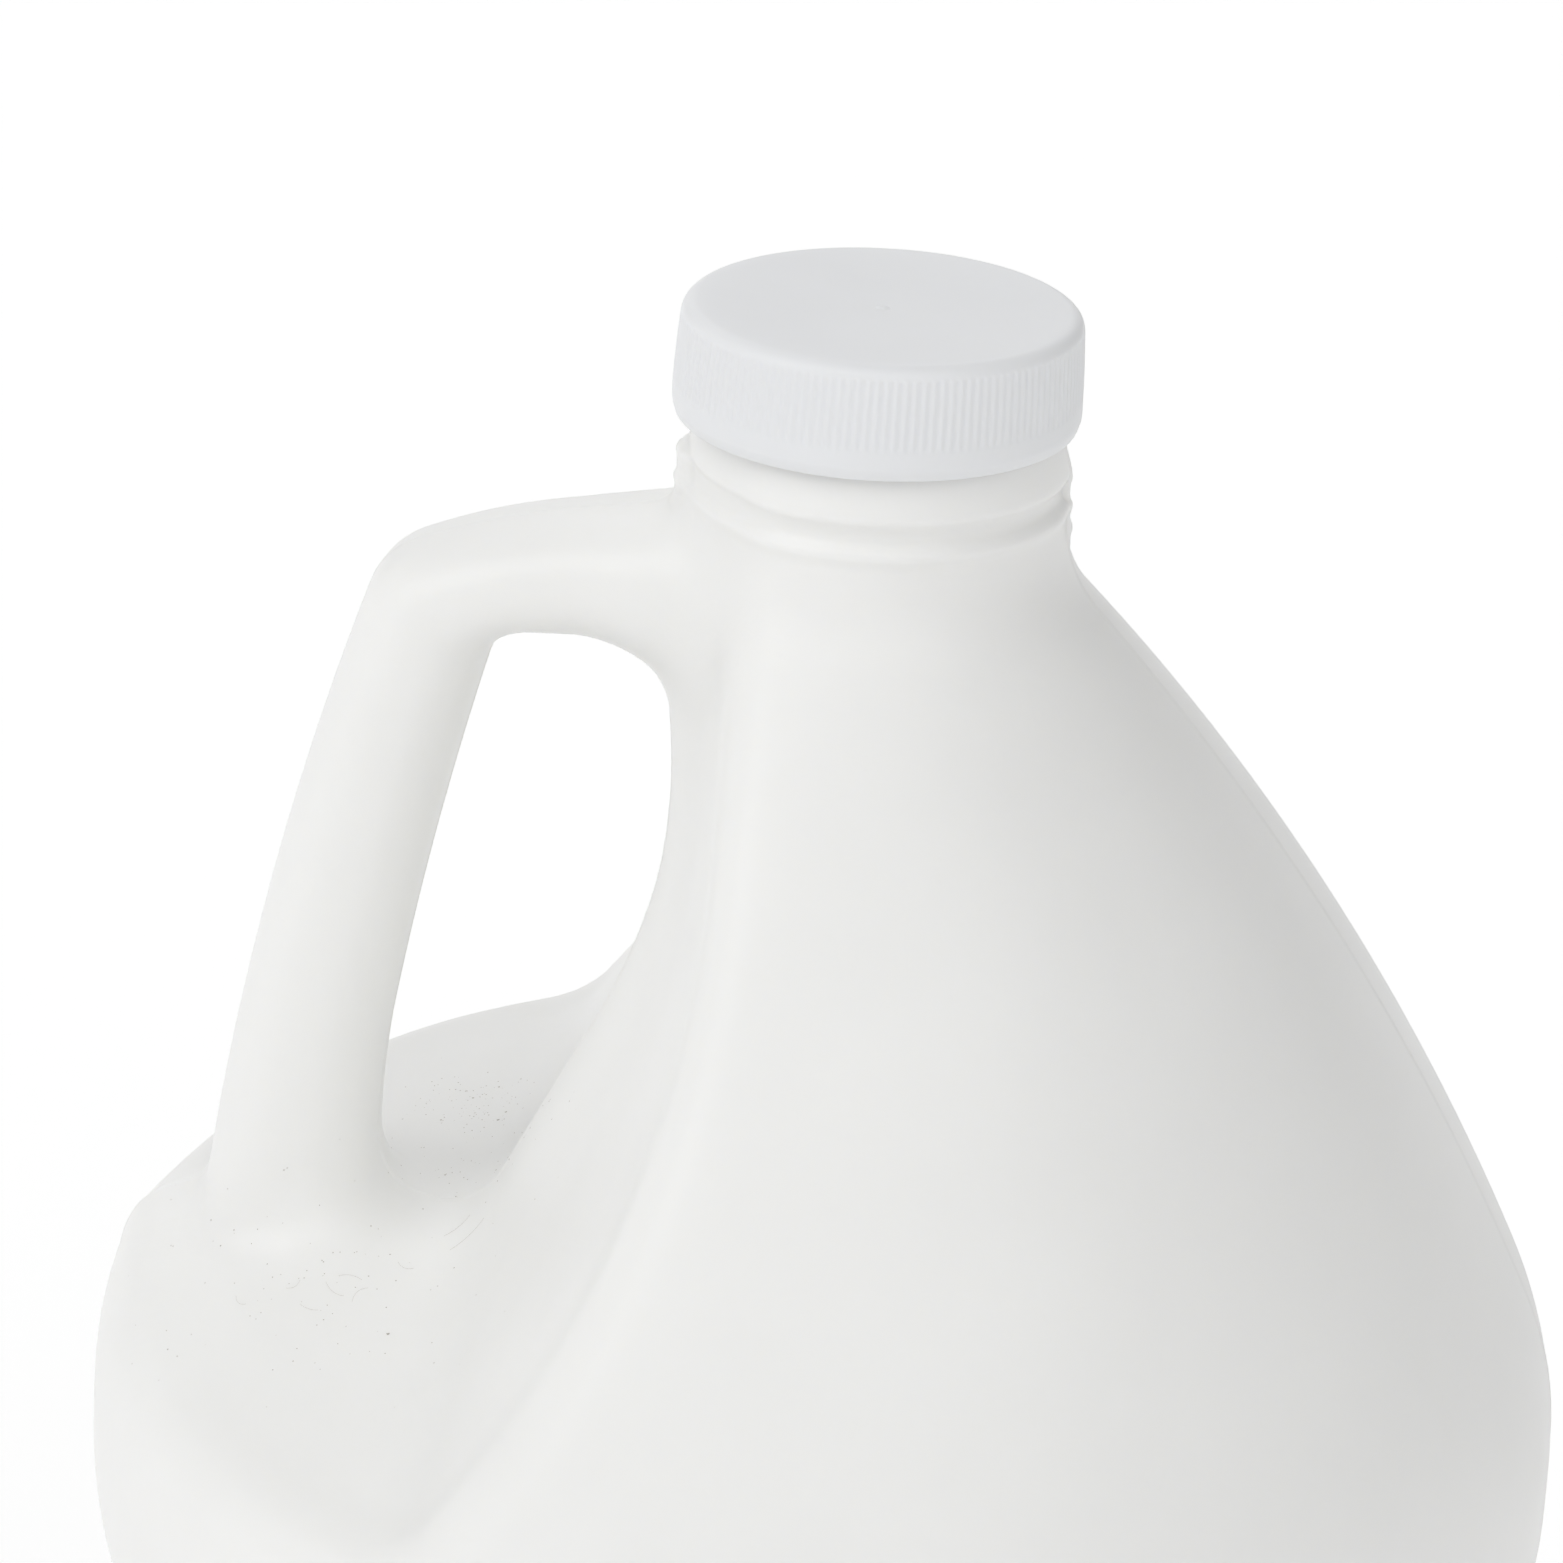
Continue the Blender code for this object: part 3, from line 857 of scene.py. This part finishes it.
class Dust:
    """Tiny flecks and fibres that lie on the skin where a line of sight through the photograph meets it."""

    def __init__(self, skin):
        corners = [vertex.co for vertex in skin.data.vertices]
        polygons = [polygon.vertices for polygon in skin.data.polygons]
        self.tree = mathutils.bvhtree.BVHTree.FromPolygons(corners, polygons)
        self.points = []
        self.faces = []

    def on_skin(self, across, down):
        """The skin's point and outward normal behind a place in the photograph, in pixels."""
        place, right, up, ahead = eye()
        middle = PHOTO_SIDE / 2.0
        way = ahead + (across - middle) / FOCAL * right - (down - middle) / FOCAL * up
        start = mathutils.Vector((place * MM).tolist())
        point, normal, _, _ = self.tree.ray_cast(start, mathutils.Vector(way.tolist()).normalized())
        return point, normal

    def fleck(self, across, down, radius, turn):
        """A flat rough-edged scale, a little longer than wide."""
        point, normal = self.on_skin(across, down)
        if point is None:
            return
        side = normal.orthogonal().normalized()
        other = normal.cross(side)
        size = radius * MM
        rim = []
        for i in range(FLECK_SIDES):
            angle = turn + 2.0 * math.pi * i / FLECK_SIDES
            reach = size * (1.0 + FLECK_RAGGED * math.sin(FLECK_LOBES * angle + turn))
            out = side * (reach * FLECK_STRETCH * math.cos(angle)) + other * (reach * math.sin(angle))
            rim.append(point + out)
        low = len(self.points)
        high = low + FLECK_SIDES
        crown = high + FLECK_SIDES
        self.points += [corner - normal * size * FLECK_SUNK for corner in rim]
        self.points += [corner + normal * size * FLECK_RIM for corner in rim]
        self.points.append(point + normal * size * FLECK_CROWN)
        for i in range(FLECK_SIDES):
            j = (i + 1) % FLECK_SIDES
            self.faces.append((low + i, low + j, high + j, high + i))
            self.faces.append((high + i, high + j, crown))
        self.faces.append(tuple(range(high - 1, low - 1, -1)))

    def fibre(self, start, end, bow, radius):
        """A fine bent hair that lies on the skin, as a three-sided tube."""
        rings = []
        for i in range(FIBRE_STEPS + 1):
            share = i / FIBRE_STEPS
            lift = 4.0 * bow * share * (1.0 - share)
            across = start[0] + (end[0] - start[0]) * share - (end[1] - start[1]) * lift
            down = start[1] + (end[1] - start[1]) * share + (end[0] - start[0]) * lift
            point, normal = self.on_skin(across, down)
            if point is None:
                return
            rings.append((point + normal * radius * MM, normal))
        first = len(self.points)
        sides = len(FIBRE_CORNERS)
        for i, (point, normal) in enumerate(rings):
            way = rings[min(i + 1, FIBRE_STEPS)][0] - rings[max(i - 1, 0)][0]
            side = normal.cross(way).normalized()
            for angle in FIBRE_CORNERS:
                turned = side * math.cos(math.radians(angle)) + normal * math.sin(math.radians(angle))
                self.points.append(point + turned * radius * MM)
        for i in range(FIBRE_STEPS):
            for k in range(sides):
                a, b = first + sides * i + k, first + sides * i + (k + 1) % sides
                self.faces.append((a, b, b + sides, a + sides))
        last = first + sides * FIBRE_STEPS
        self.faces.append((first, first + 2, first + 1))
        self.faces.append((last, last + 1, last + 2))

    def piece(self, name):
        """All the flecks and fibres as one mesh."""
        return new_piece(name, np.array([tuple(p) for p in self.points]), self.faces)


def make_dust(skin):
    """The specks one by one, then the patches of fine dust, then the fibres."""
    draw = random.Random(DUST_SEED)
    dust = Dust(skin)
    for across, down, radius in SPECKS:
        dust.fleck(across, down, radius, draw.uniform(0.0, FLECK_TURN))
    for across, down, wide, high, count in DUST_PATCHES:
        for _ in range(count):
            radius = DUST_RADIUS * draw.uniform(*DUST_SIZES)
            place = (draw.gauss(across, wide), draw.gauss(down, high))
            dust.fleck(*place, radius, draw.uniform(0.0, FLECK_TURN))
    for start, end, bow in FIBRES:
        dust.fibre(start, end, bow, FIBRE_RADIUS)
    return dust.piece("dust")


def soft_sun(name, bearing, height, strength):
    """A broad light from a bearing and a height in degrees: right of the camera, and above the horizon."""
    data = bpy.data.lights.new(name, "SUN")
    data.energy = strength
    data.angle = math.radians(SUN_WIDTH)
    made = bpy.data.objects.new(name, data)
    bpy.context.scene.collection.objects.link(made)
    place = eye()[0]
    turn = math.atan2(place[1], place[0]) + math.radians(bearing)
    rise = math.radians(height)
    level = math.cos(rise)
    towards = mathutils.Vector((math.cos(turn) * level, math.sin(turn) * level, math.sin(rise)))
    made.rotation_euler = towards.to_track_quat("Z", "Y").to_euler()


def make_floor():
    """A white floor with a little light of its own."""
    mesh = bpy.data.meshes.new("floor")
    corners = [(x * FLOOR_REACH, y * FLOOR_REACH, 0.0) for x, y in ((-1, -1), (1, -1), (1, 1), (-1, 1))]
    mesh.from_pydata(corners, [], [(0, 1, 2, 3)])
    floor = bpy.data.objects.new("floor", mesh)
    bpy.context.scene.collection.objects.link(floor)
    made = plain("floor", FLOOR_COLOUR, FLOOR_ROUGHNESS)
    shader = made.node_tree.nodes["Principled BSDF"]
    shader.inputs["Emission Color"].default_value = WHITE
    shader.inputs["Emission Strength"].default_value = FLOOR_GLOW
    mesh.materials.append(made)


def studio():
    """The floor, a white surround and broad soft lights that leave the right side darker."""
    make_floor()
    world = bpy.data.worlds.new("surround")
    bpy.context.scene.world = world
    world.use_nodes = True
    background = world.node_tree.nodes["Background"]
    background.inputs["Color"].default_value = WHITE
    background.inputs["Strength"].default_value = SURROUND
    for name, bearing, height, strength in SUNS:
        soft_sun(name, bearing, height, strength)
    bpy.context.scene.view_settings.view_transform = "Standard"


camera()
skin = make_jug()
cap = make_cap()
dust = make_dust(skin)
skin.data.materials.append(plastic("jug_satin", **JUG_PLASTIC))
cap.data.materials.append(plastic("cap_satin", **CAP_PLASTIC))
dust.data.materials.append(plain("dust", DUST_COLOUR, DUST_ROUGHNESS))
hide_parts("jug")
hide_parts("cap")
for piece in (skin, cap, dust):
    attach(piece, "root")
studio()
